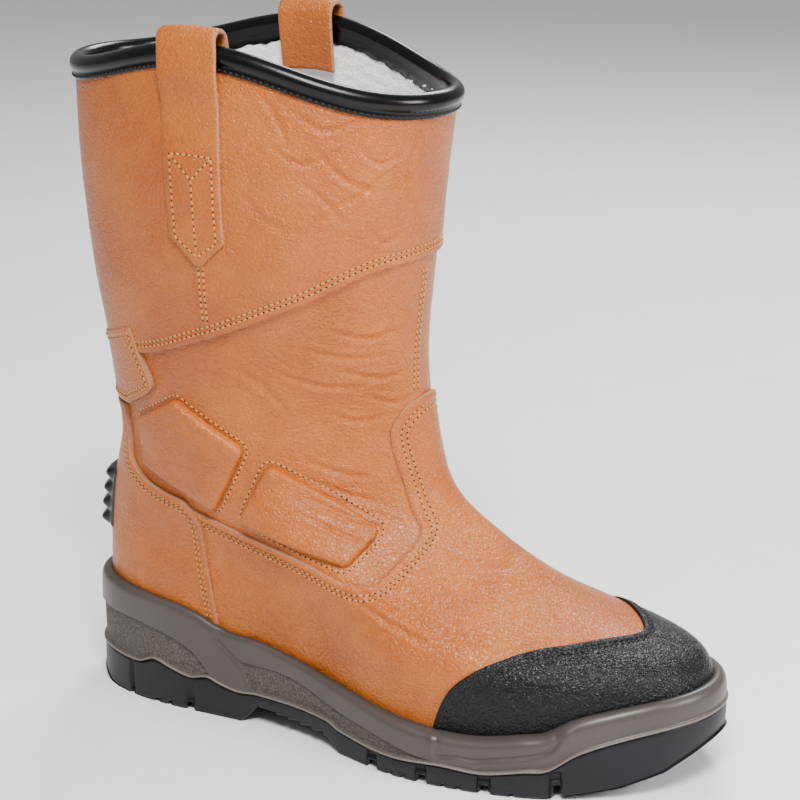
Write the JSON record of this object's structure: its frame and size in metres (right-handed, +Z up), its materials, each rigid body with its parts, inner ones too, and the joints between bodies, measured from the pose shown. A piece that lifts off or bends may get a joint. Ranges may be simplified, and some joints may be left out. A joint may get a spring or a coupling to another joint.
{
  "type": "rigger boot",
  "caption": "Pull-on safety boot with a tall leather shaft, scuff cap, padded ankle patches, pull straps, rolled collar and a lugged two-part sole.",
  "frame": {"origin": "on the ground, under the middle of the boot's bounding box", "axes": "+X from heel to toe, -Y to the outer side and +Y to the inner side of this right boot, +Z up"},
  "size_m": [0.3094, 0.1168, 0.3165],
  "materials": {
    "tan_leather": "semi-gloss full grain leather with a light pebble",
    "black_leather": "pebbled black leather, semi-gloss",
    "binding": "glossy smooth black binding",
    "midsole": "moulded polyurethane, smooth band over a grained band",
    "rubber": "moulded black rubber, matt",
    "fleece": "white fleece"
  },
  "bodies": {
    "root": {"upper": "tan_leather", "leg_panel": "tan_leather", "vamp": "tan_leather", "heel_counter": "tan_leather", "back_stay": "tan_leather", "toe_cap": "black_leather", "ankle_pad_rear_outer": "tan_leather", "ankle_pad_rear_inner": "tan_leather", "ankle_pad_front_outer": "tan_leather", "ankle_pad_front_inner": "tan_leather", "collar_binding": "binding", "pull_strap_outer": "tan_leather", "pull_strap_inner": "tan_leather", "heel_spur": "rubber", "insole": "fleece", "midsole": "midsole", "outsole": "rubber"}
  },
  "joints": []
}
